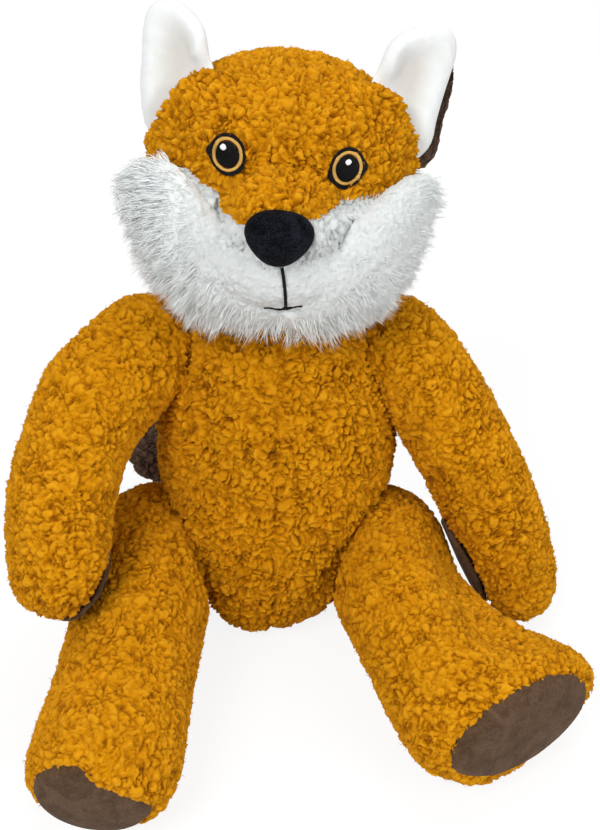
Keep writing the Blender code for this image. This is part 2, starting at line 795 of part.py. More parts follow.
def make_ear(side):
    middle, base, point, front = ear_lines(side)
    offset = (EAR_LAYER + SEAM_GAP) / 2
    lining = form(
        f"ear_{side}_lining",
        ear_rings(side, offset, EAR_BEAD_RADIUS + SEAM_GAP),
        TRIM_SIDES,
        WHITE_PLUSH,
    )
    back = form(f"ear_{side}_back", ear_rings(side, -offset, 0), TRIM_SIDES, BROWN_PILE)
    half = base * EAR_BEAD_SHARE * EAR_BASE_WIDTH / 2
    bead = rod(f"ear_{side}_bead", middle - half, middle + half, EAR_BEAD_RADIUS)
    join(back, bead)
    wide_bead = rod(
        f"ear_{side}_groove", middle - half, middle + half, EAR_BEAD_RADIUS + JOINT_CLEARANCE
    )
    hang(f"ear_{side}_joint", middle, lining, back)
    return wide_bead


def make_head():
    grooves = [make_ear(side) for side in SIDE]
    crown = form("head_crown", head_rings(), BODY_SIDES, GOLDEN_PILE)
    join(crown, form("snout_outer", snout_rings(), LIMB_SIDES))
    inner = form("head_inner", head_rings(-COVER_WALL), LIMB_SIDES)
    snout_inner = form("snout_inner", snout_rings(-COVER_WALL), INNER_SIDES)
    cut(crown, inner, snout_inner, BELOW_NECK, *grooves)
    stuffing = form("head_stuffing", head_rings(-COVER_WALL - STUFFING_GAP), LIMB_SIDES, STUFFING)
    join(stuffing, form("snout_fill", snout_rings(-COVER_WALL - STUFFING_GAP), INNER_SIDES))
    cut(stuffing, BELOW_NECK, *grooves)
    skin = form("head_skin", head_rings(SEAM_GAP), BODY_SIDES)
    snout_skin = form("snout_skin", snout_rings(SEAM_GAP), LIMB_SIDES)
    muzzle_skin = form("muzzle_skin", muzzle_rings(SEAM_GAP), LIMB_SIDES)
    muzzle_room = form("muzzle_room", muzzle_rings(SEAM_GAP * 2 + PATCH_THICKNESS), LIMB_SIDES)
    muzzle = form("muzzle", muzzle_rings(), LIMB_SIDES, WHITE_PILE)
    cut(muzzle, skin, snout_skin, BELOW_NECK)
    nose = form("nose", nose_rings(), LIMB_SIDES, BLACK_FELT)
    cut(nose, snout_skin, muzzle_skin)
    pieces = [crown, stuffing, muzzle, nose]
    seam = SEAM_GAP / 2
    for side, sign in SIDE.items():
        ruff = form(f"cheek_ruff_{side}", ruff_rings(side), LIMB_SIDES, WHITE_PILE)
        low = Vector((-REACH if sign > 0 else -seam, -REACH, -REACH))
        high = Vector((seam if sign > 0 else REACH, REACH, REACH))
        other_half = box(f"past_chin_{side}", HEAD_FRAME, low, high)
        cut(ruff, skin, snout_skin, muzzle_room, BELOW_NECK, other_half)
        pieces.append(ruff)
        eye_line = head_line(sign * EYE_SPREAD, -HEAD_DEPTH / 2, EYE_LIFT[side])
        outline = oval(
            f"eye_{side}_outline",
            in_head(sign * EYE_SPREAD, -HEAD_DEPTH / 2, EYE_LIFT[side]),
            eye_line,
            head_line(0, 0, 1),
            EYE_WIDTH,
            EYE_HEIGHT,
            HEAD_DEPTH / 2,
        )
        eye = patch(f"eye_{side}", head_rings, BODY_SIDES, EYE_THREAD, outline)
        cut(eye, snout_skin)
        pieces.append(eye)
    stitch = MOUTH_WIDTH / 2
    thread = THREAD_WIDTH / 2
    front = -MUZZLE_LENGTH * 2
    under_nose = Matrix.Translation(Vector((-SNOUT_ASIDE, 0, -NOSE_DROP)))
    mouth_frame = HEAD_FRAME @ under_nose @ turn(-MOUTH_SLANT_DEG, "Y")
    line_down = box(
        "mouth_line",
        mouth_frame,
        Vector((-thread, front, -MOUTH_DROP)),
        Vector((thread, -MUZZLE_LENGTH / 2, -NOSE_HEIGHT / 2)),
    )
    line_across = box(
        "mouth_across",
        mouth_frame,
        Vector((-stitch, front, -MOUTH_DROP - thread)),
        Vector((stitch, -MUZZLE_LENGTH / 2, -MOUTH_DROP + thread)),
    )
    join(line_down, line_across)
    mouth = patch("mouth_stitch", muzzle_rings, LIMB_SIDES, MOUTH_THREAD, line_down)
    pieces.append(mouth)
    hang("neck_joint", NECK, *pieces)


make_torso()
for SIDE_NAME in SIDE:
    make_arm(SIDE_NAME)
    make_leg(SIDE_NAME)
make_tail()
make_head()
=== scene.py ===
"""A plush fox sitting on a pale floor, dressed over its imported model.

Metres, +Z up, the fox looks along -Y, and the origin is the middle of its seat.
"""

import math

import bpy
import numpy as np
from mathutils import Matrix, Vector
from mathutils.bvhtree import BVHTree


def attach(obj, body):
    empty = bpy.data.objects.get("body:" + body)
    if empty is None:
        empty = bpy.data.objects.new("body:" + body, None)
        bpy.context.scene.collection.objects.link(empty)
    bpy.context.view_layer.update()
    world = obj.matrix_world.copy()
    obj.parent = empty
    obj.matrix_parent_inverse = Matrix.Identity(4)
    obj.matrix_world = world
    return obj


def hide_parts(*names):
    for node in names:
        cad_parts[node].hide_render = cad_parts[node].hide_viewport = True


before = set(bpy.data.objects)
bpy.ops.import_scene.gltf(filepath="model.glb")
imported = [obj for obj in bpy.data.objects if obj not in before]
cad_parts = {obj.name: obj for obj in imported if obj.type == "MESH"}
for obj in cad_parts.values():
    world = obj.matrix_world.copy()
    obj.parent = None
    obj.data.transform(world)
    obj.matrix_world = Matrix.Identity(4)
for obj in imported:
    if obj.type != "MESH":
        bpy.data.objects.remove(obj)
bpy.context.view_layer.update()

SIDE = {"left": -1, "right": 1}
# The size of the cells that a soft skin is remeshed in
GRAIN = 0.00078
# How many times the even skin of a stuffed cover is smoothed
SMOOTHING = 8
# The lump, or tuft, size of each pile, and the length of the loose fibres on it
GOLDEN_LUMP = 0.0037
CROWN_LUMP = 0.0034
FIBRE_LENGTH = 0.0018

# The head's own frame, and the places of the face in it
HEAD = Vector((0.00761, 0.02947, 0.21805))
HEAD_FRAME = (
    Matrix.Translation(HEAD)
    @ Matrix.Rotation(math.radians(5.5), 4, "Y")
    @ Matrix.Rotation(math.radians(-8.0), 4, "X")
)
HEAD_TURN = np.array(HEAD_FRAME.to_3x3())


def in_head(x, y, z):
    """A place given in the head's own frame."""
    return HEAD_FRAME @ Vector((x, y, z))


def from_head(points):
    """Places in the head's own frame, moved into the object's."""
    return np.asarray(points) @ HEAD_TURN.T + np.array(HEAD)


def to_head(points):
    """Places in the object's frame, seen from the head's own."""
    return (np.asarray(points) - np.array(HEAD)) @ HEAD_TURN


# Picking, copying and finishing pieces
def pick(*pieces):
    bpy.ops.object.select_all(action="DESELECT")
    for piece in pieces:
        piece.select_set(True)
    bpy.context.view_layer.objects.active = pieces[0]


def rename(piece, name):
    piece.name = name
    piece.data.name = name
    return piece


def apply_modifier(piece, kind, **settings):
    pick(piece)
    modifier = piece.modifiers.new(kind.title(), kind)
    for key, value in settings.items():
        setattr(modifier, key, value)
    bpy.ops.object.modifier_apply(modifier=modifier.name)
    return piece


def edit(piece, *steps):
    """Runs edit mode steps on a piece with everything in it selected."""
    pick(piece)
    bpy.ops.object.mode_set(mode="EDIT")
    bpy.ops.mesh.select_all(action="SELECT")
    for step, settings in steps:
        step(**settings)
    bpy.ops.object.mode_set(mode="OBJECT")
    return piece


def twin(name, *nodes):
    """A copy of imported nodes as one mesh, its loose triangles merged."""
    copies = []
    for node in nodes:
        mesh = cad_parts[node].data.copy()
        mesh.materials.clear()
        copies.append(bpy.data.objects.new(name, mesh))
        bpy.context.scene.collection.objects.link(copies[-1])
    pick(*copies)
    if len(copies) > 1:
        bpy.ops.object.join()
    piece = rename(copies[0], name)
    return edit(piece, (bpy.ops.mesh.remove_doubles, {"threshold": 1e-5}))


def biggest(piece):
    """Keeps the outer skin and drops the small closed bits inside it."""
    name = piece.name
    edit(piece, (bpy.ops.mesh.separate, {"type": "LOOSE"}))
    parts = sorted(bpy.context.selected_objects, key=lambda o: -len(o.data.vertices))
    for part in parts[1:]:
        bpy.data.objects.remove(part)
    return rename(parts[0], name)


def stuffed(name, covers, stuffing):
    """The outer skin of sewn covers and what fills them, in even small faces."""
    skin = twin(name, *covers)
    fill = apply_modifier(twin(f"{name}_fill", stuffing), "DISPLACE", strength=0.0014, mid_level=0.0)
    pick(skin, fill)
    bpy.ops.object.join()
    apply_modifier(skin, "REMESH", mode="VOXEL", voxel_size=GRAIN, adaptivity=0.0)
    skin = biggest(skin)
    return apply_modifier(skin, "SMOOTH", factor=0.5, iterations=SMOOTHING)


def padded_out(name, node, grain=GRAIN, smoothing=8):
    """The skin of one solid piece in even small faces."""
    skin = twin(name, node)
    apply_modifier(skin, "REMESH", mode="VOXEL", voxel_size=grain, adaptivity=0.0)
    return apply_modifier(skin, "SMOOTH", factor=0.5, iterations=smoothing)


# Reading and moving points in bulk
def places(piece):
    points = np.empty(len(piece.data.vertices) * 3)
    piece.data.vertices.foreach_get("co", points)
    return points.reshape(-1, 3)


def normals(piece):
    piece.data.update()
    lines = np.empty(len(piece.data.vertices) * 3)
    piece.data.vertices.foreach_get("normal", lines)
    return lines.reshape(-1, 3)


def put(piece, points):
    piece.data.vertices.foreach_set("co", points.astype(np.float32).ravel())
    piece.data.update()


def mark(piece, name, values):
    """A value for each point, which the materials read."""
    layer = piece.data.attributes.get(name) or piece.data.attributes.new(name, "FLOAT", "POINT")
    layer.data.foreach_set("value", np.asarray(values, np.float32))


def unit(lines):
    return lines / np.maximum(np.linalg.norm(lines, axis=-1, keepdims=True), 1e-12)


def ease(low, high, values):
    share = np.clip((values - low) / (high - low), 0, 1)
    return share * share * (3 - 2 * share)


def scrambled(cells, seed):
    """Three even numbers from 0 to 1 for each whole-numbered cell."""
    x = cells.astype(np.int64).astype(np.uint64)
    k = x[..., 0] * np.uint64(73856093) ^ x[..., 1] * np.uint64(19349663)
    k = k ^ x[..., 2] * np.uint64(83492791) ^ np.uint64(seed * 2654435761 % 2**32)
    made = []
    for _ in range(3):
        k = (k ^ (k >> np.uint64(31))) * np.uint64(0x7FB5D329728EA185)
        k = (k ^ (k >> np.uint64(27))) * np.uint64(0x81DADEF4BC2DD44D)
        k = k ^ (k >> np.uint64(33))
        made.append((k >> np.uint64(40)).astype(float) / 2**24)
    return np.stack(made, -1)


def wander(points, seed):
    """A smooth vector from -1 to 1 that wanders over one unit."""
    base = np.floor(points)
    share = points - base
    share = share * share * (3 - 2 * share)
    total = 0
    for dx in (0, 1):
        for dy in (0, 1):
            for dz in (0, 1):
                corner = np.array((dx, dy, dz))
                weight = np.prod(np.where(corner, share, 1 - share), -1)
                total = total + weight[..., None] * scrambled(base + corner, seed)
    return total * 2 - 1


def tufts(points, seed):
    """For tufts one unit apart: how near the closest and the next middle are, and its own tone."""
    base = np.floor(points)
    near = np.full(len(points), 9.0)
    second = np.full(len(points), 9.0)
    tone = np.zeros(len(points))
    for dx in (-1, 0, 1):
        for dy in (-1, 0, 1):
            for dz in (-1, 0, 1):
                cell = base + np.array((dx, dy, dz))
                middle = scrambled(cell, seed)
                gap = np.linalg.norm(cell + middle - points, axis=-1)
                closer = gap < near
                second = np.where(closer, near, np.minimum(second, gap))
                tone = np.where(closer, middle[:, 0] * 7.7 % 1, tone)
                near = np.where(closer, gap, near)
    return near, second, tone


def raise_pile(piece, lump, rise, seed, seams=None):
    """Curly pile: a soft crinkled nap, its tufts joined in places and cracked apart in others."""
    flat = places(piece)
    out = normals(piece)
    loose = flat + wander(flat / (lump * 0.75), seed) * lump * 0.46
    loose += wander(flat / (lump * 3.0), seed + 5) * lump * 0.5
    loose += wander(flat / (lump * 0.3), seed + 6) * lump * 0.17
    near, second, tone = tufts(loose / lump, seed)
    parted = 0.60 + 0.40 * ease(-0.35, 0.35, wander(flat / (lump * 1.2), seed + 4)[:, 0])
    crack = (1 - ease(-0.02, 0.30, second - near)) * parted
    fold = 1 - np.abs(wander(loose / (lump * 0.50), seed + 2)[:, 0]) * 2.2
    curl = ease(-0.1, 0.9, fold)
    pile = 0.72 * (1 - 0.35 * near**2) * (1 - 0.88 * crack) + 0.28 * curl * (1 - 0.5 * crack)
    pile *= 0.90 + 0.20 * tone
    deep = np.zeros(len(flat)) if seams is None else seams(flat)
    # Seams sink the pile, and the lower pile value also paints shade into them.
    pile = pile * (1 - 0.75 * deep)
    lean = wander(flat / (lump * 1.6), seed + 3)
    lean -= out * np.sum(lean * out, -1, keepdims=True)
    moved = flat + out * ((pile - 0.45) * rise - deep * rise * 0.7)[:, None]
    put(piece, moved + lean * (pile * rise * 0.7)[:, None])
    # The pile's height, which the pile materials turn into painted shade where it is low.
    mark(piece, "pile", pile)
    mark(piece, "tone", tone)
    return piece


def draw_out(piece, start, end, radius, push, keep=None):
    """Pulls the skin near a line outwards, softly, as a thumb would."""
    points = places(piece)
    start, end, push = np.array(start), np.array(end), np.array(push)
    line = end - start
    share = np.clip((points - start) @ line / max(line @ line, 1e-12), 0, 1)
    gap = np.linalg.norm(points - start - share[:, None] * line, axis=1)
    much = np.exp(-((gap / radius) ** 2))
    if keep is not None:
        much = much * keep(points)
    put(piece, points + much[:, None] * push)
    return piece


def scatter(piece, count, seed, keep=None):
    """Places spread evenly over a piece's skin, the way it faces at each, and a point beside each."""
    piece.data.calc_loop_triangles()
    corners = np.empty(len(piece.data.loop_triangles) * 3, np.int32)
    piece.data.loop_triangles.foreach_get("vertices", corners)
    corners = corners.reshape(-1, 3)
    triangles = places(piece)[corners]
    cross = np.cross(triangles[:, 1] - triangles[:, 0], triangles[:, 2] - triangles[:, 0])
    area = np.linalg.norm(cross, axis=1)
    facing = unit(cross)
    if keep is not None:
        area = area * keep(triangles.mean(1))
    chance = np.random.default_rng(seed)
    chosen = chance.choice(len(area), count, p=area / area.sum())
    a, b = np.sqrt(chance.random((count, 1))), chance.random((count, 1))
    t = triangles[chosen]
    spots = t[:, 0] * (1 - a) + t[:, 1] * a * (1 - b) + t[:, 2] * a * b
    return spots, facing[chosen], corners[chosen, 0]


def grow(name, roots, lines, lengths, widths, droop, curl=0.0, sides=3, steps=5, gather=None, seed=1):
    """Strands of fur, each a closed tapered thread, as one mesh. Gathered ones lean into locks."""
    count = len(roots)
    chance = np.random.default_rng(seed)
    share = np.linspace(0, 1, steps + 1)
    side = unit(np.cross(lines, chance.normal(size=(count, 3))))
    other = np.cross(lines, side)
    phase = chance.random((count, 1)) * 2 * math.pi
    middles = []
    for t in share:
        swing = side * np.sin(phase + t * 5.0) + other * np.cos(phase + t * 4.2)
        swing = swing - (side * np.sin(phase) + other * np.cos(phase))
        along = lines * t + droop * t * t + swing * curl * t
        middles.append(roots + along * lengths[:, None])
    middles = np.stack(middles, 1)
    if gather:
        leaders = chance.choice(count, max(1, count // gather), replace=False)
        nearest = np.empty(count, int)
        for start in range(0, count, 2000):
            gap = roots[start : start + 2000, None] - roots[leaders][None]
            nearest[start : start + 2000] = leaders[np.argmin(np.sum(gap * gap, -1), 1)]
        pull = (0.66 * share**1.4)[None, :, None] * (0.75 + 0.25 * chance.random((count, 1, 1)))
        middles = middles * (1 - pull) + middles[nearest] * pull
    heading = unit(np.gradient(middles, axis=1))
    one = unit(np.cross(heading, side[:, None]))
    two = np.cross(heading, one)
    taper = np.clip(1 - share**1.8, 0, 1)
    taper[0] = 0.8
    rings = []
    for k in range(sides):
        angle = 2 * math.pi * k / sides
        spread = one * math.cos(angle) + two * math.sin(angle)
        rings.append(middles + spread * (widths[:, None] * taper[None])[..., None] / 2)
    body = np.stack(rings, 2)[:, :-1].reshape(count, -1, 3)
    points = np.concatenate([body, middles[:, -1:]], 1)
    per = steps * sides + 1
    faces = []
    for step in range(steps - 1):
        for k in range(sides):
            a, b = step * sides + k, step * sides + (k + 1) % sides
            faces.append((a, b, b + sides, a + sides))
    last = (steps - 1) * sides
    tips = [(last + k, last + (k + 1) % sides, per - 1) for k in range(sides)]
    foot = tuple(reversed(range(sides)))
    offset = (np.arange(count) * per)[:, None, None]
    quads = (np.array(faces)[None] + offset).reshape(-1, 4)
    triangles = (np.array(tips)[None] + offset).reshape(-1, 3)
    feet = (np.array([foot])[None] + offset).reshape(-1, sides)
    mesh = bpy.data.meshes.new(name)
    mesh.from_pydata(points.reshape(-1, 3), [], quads.tolist() + triangles.tolist() + feet.tolist())
    mesh.shade_smooth()
    piece = bpy.data.objects.new(name, mesh)
    bpy.context.scene.collection.objects.link(piece)
    along = np.concatenate([np.repeat(share[:-1], sides), [1.0]])
    # From nought at the root to one at the tip; the fur's colour reads it to paint shade towards the roots.
    mark(piece, "pile", np.tile(along, count))
    mark(piece, "tone", np.repeat(chance.random(count), per))
    return piece


def fuzz(piece, count, length, lump, seed):
    """Loose fibres that lie along the tufts of a pile and stand a little out of it, joined to it."""
    roots, out, beside = scatter(piece, count, seed)
    chance = np.random.default_rng(seed)
    lean = wander(roots / (lump * 1.6), seed + 3)
    lines = unit(unit(lean) * 0.75 + out * 0.55 + chance.normal(size=roots.shape) * 0.42)
    lengths = length * (0.6 + 0.8 * chance.random(len(roots)))
    height = np.empty(len(piece.data.vertices))
    piece.data.attributes["pile"].data.foreach_get("value", height)
    fibres = grow(
        f"{piece.name}_fuzz",
        roots - out * 0.0003,
        lines,
        lengths,
        np.full(len(roots), 0.00030),
        -out * 0.35,
        curl=0.5,
        steps=2,
        seed=seed,
    )
    along = np.empty(len(fibres.data.vertices))
    fibres.data.attributes["pile"].data.foreach_get("value", along)
    # Painted shade: each fibre starts as dark as the pile at its root and lightens to its tip.
    mark(fibres, "pile", np.repeat(height[beside], len(along) // len(roots)) * 0.80 + along * 0.34)
    pick(piece, fibres)
    bpy.ops.object.join()
    return piece


def lie_flat(piece, room=0.001):
    """Presses what would sink into the floor up into the last millimetre above it."""
    points = np.empty(len(piece.data.vertices) * 3)
    piece.data.vertices.foreach_get("co", points)
    height = points[2::3]
    points[2::3] = np.where(height < room, room * np.exp((np.minimum(height, room) - room) / 0.002), height)
    piece.data.vertices.foreach_set("co", points)
    piece.data.update()


# Materials
def new_material(name, roughness, sheen=0.0, sheen_tint=(1, 1, 1)):
    material = bpy.data.materials.new(name)
    material.use_nodes = True
    shader = material.node_tree.nodes["Principled BSDF"]
    shader.inputs["Roughness"].default_value = roughness
    shader.inputs["Specular IOR Level"].default_value = 0.06
    shader.inputs["Sheen Weight"].default_value = sheen
    shader.inputs["Sheen Roughness"].default_value = 0.5
    shader.inputs["Sheen Tint"].default_value = (*sheen_tint, 1)
    return material, material.node_tree, shader


def add(tree, kind, inputs=None, **settings):
    node = tree.nodes.new(kind)
    for key, value in settings.items():
        setattr(node, key, value)
    for key, value in (inputs or {}).items():
        if isinstance(value, bpy.types.NodeSocket):
            tree.links.new(value, node.inputs[key])
        else:
            node.inputs[key].default_value = value
    return node


def ramp(tree, share, *stops):
    node = add(tree, "ShaderNodeValToRGB", {"Fac": share})
    while len(node.color_ramp.elements) < len(stops):
        node.color_ramp.elements.new(0.5)
    for element, (place, colour) in zip(node.color_ramp.elements, stops):
        element.position = place
        element.color = (*colour, 1)
    return node.outputs["Color"]


def noise(tree, scale, detail=3.0, distortion=0.0, roughness=0.5):
    where = add(tree, "ShaderNodeTexCoord").outputs["Object"]
    inputs = {
        "Vector": where,
        "Scale": scale,
        "Detail": detail,
        "Roughness": roughness,
        "Distortion": distortion,
    }
    return add(tree, "ShaderNodeTexNoise", inputs).outputs["Fac"]


def bump(tree, shader, height, strength, distance):
    inputs = {"Height": height, "Strength": strength, "Distance": distance}
    node = add(tree, "ShaderNodeBump", inputs)
    tree.links.new(node.outputs["Normal"], shader.inputs["Normal"])


def pile_material(name, stops, fibre=900.0, sheen=0.12, tint=(1, 1, 1), depth=0.0015):
    """Curly pile: darker in its crevices than on its crests, a painted shade that follows the height of the
    pile, each tuft a little its own tone.
    """
    material, tree, shader = new_material(name, 0.95, sheen, tint)
    pile = add(tree, "ShaderNodeAttribute", attribute_name="pile").outputs["Fac"]
    tone = add(tree, "ShaderNodeAttribute", attribute_name="tone").outputs["Fac"]
    fine = noise(tree, fibre, 3.0, 0.6, 0.6)
    swirls = noise(tree, fibre * 0.45, 4.0, 2.6, 0.6)
    fibres = add(tree, "ShaderNodeMix", {"Factor": 0.45, 2: swirls, 3: fine}).outputs[0]
    patchy = noise(tree, 28.0, 2.0)
    share = add(tree, "ShaderNodeMath", {0: fibres, 1: 0.70, 2: -0.35}, operation="MULTIPLY_ADD").outputs[0]
    share = add(tree, "ShaderNodeMath", {0: share, 1: pile}, operation="ADD").outputs[0]
    own = add(tree, "ShaderNodeMath", {0: tone, 1: 0.12, 2: -0.06}, operation="MULTIPLY_ADD").outputs[0]
    share = add(tree, "ShaderNodeMath", {0: share, 1: own}, operation="ADD").outputs[0]
    # The ramp turns low pile into dark colour: painted shade in the crevices.
    colour = ramp(tree, share, *stops)
    wide = add(tree, "ShaderNodeMath", {0: patchy, 1: 0.22, 2: 0.89}, operation="MULTIPLY_ADD").outputs[0]
    grey = add(tree, "ShaderNodeCombineColor", {0: wide, 1: wide, 2: wide}).outputs[0]
    mixed = add(
        tree, "ShaderNodeMix", {"Factor": 1.0, 6: colour, 7: grey}, data_type="RGBA", blend_type="MULTIPLY"
    )
    tree.links.new(mixed.outputs[2], shader.inputs["Base Color"])
    bump(tree, shader, fibres, 0.8, depth)
    return material


# Each pile's low stops are painted shade, for its crevices and the roots of its strands and fibres.
GOLDEN_PILE = pile_material(
    "golden_curly_pile",
    (
        (0.02, (0.13, 0.038, 0.001)),
        (0.22, (0.36, 0.122, 0.001)),
        (0.55, (0.635, 0.252, 0.002)),
        (0.95, (0.78, 0.342, 0.008)),
    ),
    tint=(1.0, 0.55, 0.10),
)
BROWN_PILE = pile_material(
    "brown_curly_pile",
    (
        (0.04, (0.018, 0.011, 0.007)),
        (0.40, (0.058, 0.035, 0.024)),
        (0.90, (0.130, 0.082, 0.057)),
    ),
    sheen=0.03,
    tint=(1.0, 0.8, 0.65),
)
WHITE_PILE = pile_material(
    "white_short_pile",
    (
        (0.02, (0.60, 0.625, 0.62)),
        (0.30, (0.68, 0.71, 0.705)),
        (0.80, (0.72, 0.755, 0.75)),
    ),
    fibre=1200.0,
    depth=0.0009,
)
# A lighter copy of the white short pile, painted light for the lit left cheek.
LIT_CHEEK_PILE = pile_material(
    "white_pile_painted_light",
    (
        (0.02, (0.76, 0.79, 0.785)),
        (0.30, (0.83, 0.865, 0.86)),
        (0.80, (0.86, 0.90, 0.895)),
    ),
    fibre=1200.0,
    depth=0.0009,
)
# Greyer at each strand's root than at its tip: painted shade inside the fur.
WHITE_FUR = pile_material(
    "white_long_fur",
    (
        (0.00, (0.84, 0.87, 0.86)),
        (0.35, (0.90, 0.935, 0.93)),
        (0.90, (0.94, 0.98, 0.98)),
    ),
    fibre=1500.0,
    sheen=0.2,
    depth=0.0003,
)


def nap_material(name, low, high, sheen, scale=700.0, depth=0.0003, speck=0.35):
    """Short smooth nap, brushed a little lighter and darker in patches, and greyed with painted shade in the
    dents its points mark.
    """
    material, tree, shader = new_material(name, 0.7, sheen)
    nap = noise(tree, scale, 4.0, 0.3, 0.7)
    patches = noise(tree, 90.0, 3.0, 1.2)
    share = add(tree, "ShaderNodeMath", {0: nap, 1: speck, 2: -speck / 2}, operation="MULTIPLY_ADD")
    share = share.outputs[0]
    share = add(tree, "ShaderNodeMath", {0: share, 1: patches}, operation="ADD").outputs[0]
    # Painted shade: the marked dents are mixed towards a grey beige.
    dent_shade = add(tree, "ShaderNodeAttribute", attribute_name="dent_shade").outputs["Fac"]
    painted_shade = add(tree, "ShaderNodeMath", {0: dent_shade, 1: 0.75}, operation="MULTIPLY").outputs[0]
    shaded = ramp(tree, share, (0.3, low), (0.7, high))
    mixed = add(
        tree, "ShaderNodeMix", {"Factor": painted_shade, 6: shaded, 7: (0.60, 0.57, 0.52, 1)}, data_type="RGBA"
    )
    tree.links.new(mixed.outputs[2], shader.inputs["Base Color"])
    bump(tree, shader, nap, 0.5, depth)
    return material


BROWN_PLUSH = nap_material(
    "brown_short_plush", (0.066, 0.037, 0.019), (0.128, 0.073, 0.041), 0.05, 900.0, 0.0005, 1.1
)
WHITE_PLUSH = nap_material("white_short_plush", (0.74, 0.76, 0.75), (0.82, 0.84, 0.84), 0.15, 900.0, 0.00015)
BLACK_FELT = nap_material(
    "black_felt", (0.0004, 0.0008, 0.0014), (0.0110, 0.0140, 0.0195), 0.0, 1100.0, 0.0009, 1.6
)
BLACK_THREAD = nap_material(
    "black_thread", (0.003, 0.003, 0.003), (0.012, 0.011, 0.011), 0.05, 2500.0, 0.0001
)
AMBER_THREAD = nap_material("amber_thread", (0.50, 0.27, 0.045), (0.78, 0.48, 0.12), 0.3, 2500.0, 0.0001)
WHITE_THREAD = nap_material("white_thread", (0.80, 0.80, 0.80), (0.92, 0.92, 0.92), 0.3, 2500.0, 0.0001)


def dress(piece, material, body, replaced=()):
    piece.data.materials.clear()
    piece.data.materials.append(material)
    piece.data.shade_smooth()
    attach(piece, body)
    if replaced:
        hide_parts(*replaced)
    return piece


def lay(piece, material, inside):
    """Gives a second material to the faces where a measure of their place is above nought."""
    piece.data.materials.append(material)
    corners = np.empty(len(piece.data.loops), np.int32)
    piece.data.loops.foreach_get("vertex_index", corners)
    starts = np.empty(len(piece.data.polygons), np.int32)
    piece.data.polygons.foreach_get("loop_start", starts)
    second = inside(places(piece)[corners[starts]]) > 0
    piece.data.polygons.foreach_set("material_index", second.astype(np.int32))
    piece.data.update()


# Torso
LEAN_SIDE = math.tan(math.radians(2.0))


def torso_seams(points):
    """The seam down the middle of the belly and of the back, where the pile is sunk and darkened with painted
    shade.
    """
    gap = np.abs(points[:, 0] - points[:, 2] * LEAN_SIDE + 0.0010 * np.sin(points[:, 2] * 130))
    return np.exp(-((gap / 0.0014) ** 2)) * 0.45


torso = stuffed("torso_pile", ("torso_cover_left", "torso_cover_right"), "torso_stuffing")
draw_out(torso, (-0.022, -0.031, 0.023), (-0.012, -0.034, 0.012), 0.012, (-0.0030, -0.0030, -0.0018))
draw_out(torso, (0.023, -0.031, 0.021), (0.028, -0.030, 0.027), 0.010, (0.0022, -0.0015, -0.0008))
raise_pile(torso, GOLDEN_LUMP, 0.0035, 11, torso_seams)
fuzz(torso, 7000, FIBRE_LENGTH, GOLDEN_LUMP, 11)
lie_flat(torso)
dress(
    torso,
    GOLDEN_PILE,
    "torso",
    ("torso_cover_left", "torso_cover_right", "torso_stuffing"),
)

# Arms and legs
LIMB_RISE = {"arm": 0.0024, "leg": 0.0021}
# Where stuffing pulls a cover out of its plain round: a line, how wide, and how far
PULLS = {
    "arm_left": (
        ((-0.087, -0.014, 0.138), (-0.060, 0.018, 0.151), 0.017, (-0.0042, 0.0010, 0.0040)),
        ((-0.085, -0.089, 0.075), (-0.090, -0.084, 0.084), 0.018, (0.0014, -0.0006, -0.0024)),
        ((-0.072, -0.076, 0.089), (-0.074, -0.082, 0.080), 0.011, (0.0020, 0.0, 0.0)),
    ),
    "arm_right": (
        ((0.118, -0.020, 0.100), (0.120, -0.032, 0.030), 0.040, (-0.0044, 0.0, 0.0)),
        ((0.125, -0.035, 0.022), (0.118, -0.036, 0.020), 0.016, (0.0010, -0.0010, -0.0040)),
    ),
    "leg_left": (
        ((-0.062, -0.154, 0.052), (-0.046, -0.154, 0.044), 0.010, (0.0, -0.0060, -0.0035)),
        ((-0.039, -0.125, 0.040), (-0.043, -0.150, 0.028), 0.013, (0.0014, 0.0, 0.0)),
        ((-0.089, -0.128, 0.049), (-0.082, -0.099, 0.053), 0.014, (0.0018, 0.0, -0.0003)),
        ((-0.062, -0.010, 0.064), (-0.067, -0.010, 0.062), 0.014, (-0.0010, 0.0010, 0.0030)),
    ),
    "leg_right": (
        ((0.140, -0.096, 0.030), (0.138, -0.098, 0.052), 0.025, (0.0070, 0.0030, 0.0034)),
        ((0.036, -0.069, 0.034), (0.045, -0.085, 0.030), 0.014, (0.0014, 0.0, 0.0008)),
        ((0.086, -0.035, 0.056), (0.101, -0.078, 0.059), 0.019, (-0.0080, 0.0, -0.0090)),
        ((0.088, -0.126, 0.010), (0.108, -0.120, 0.010), 0.011, (0.0, -0.0045, -0.0005)),
    ),
}
SOLE_GROWTH = {"left": 1.0, "right": 1.04}
SOLE_PULL = ((0.140, -0.096, 0.030), (0.138, -0.098, 0.052), 0.025, (0.0036, 0.0030, 0.0034))


def crown_sole(sole, growth):
    """Stuffing pushes the middle of a sole out past its sewn rim."""
    points = places(sole)
    middle = points.mean(0)
    spread = np.linalg.svd(points - middle, full_matrices=False)[2]
    line = spread[2] * (-1 if spread[2][1] > 0 else 1)
    across = (points - middle) @ spread[:2].T
    share = np.linalg.norm(across / np.abs(across).max(0), axis=1)
    much = 0.0026 * np.clip(1 - share**2, 0, 1) - 0.0020 * ease(0.84, 1.0, share)
    grown = (across * (growth - 1)) @ spread[:2]
    put(sole, points + grown + line * (much + (growth - 1) * 0.015)[:, None])


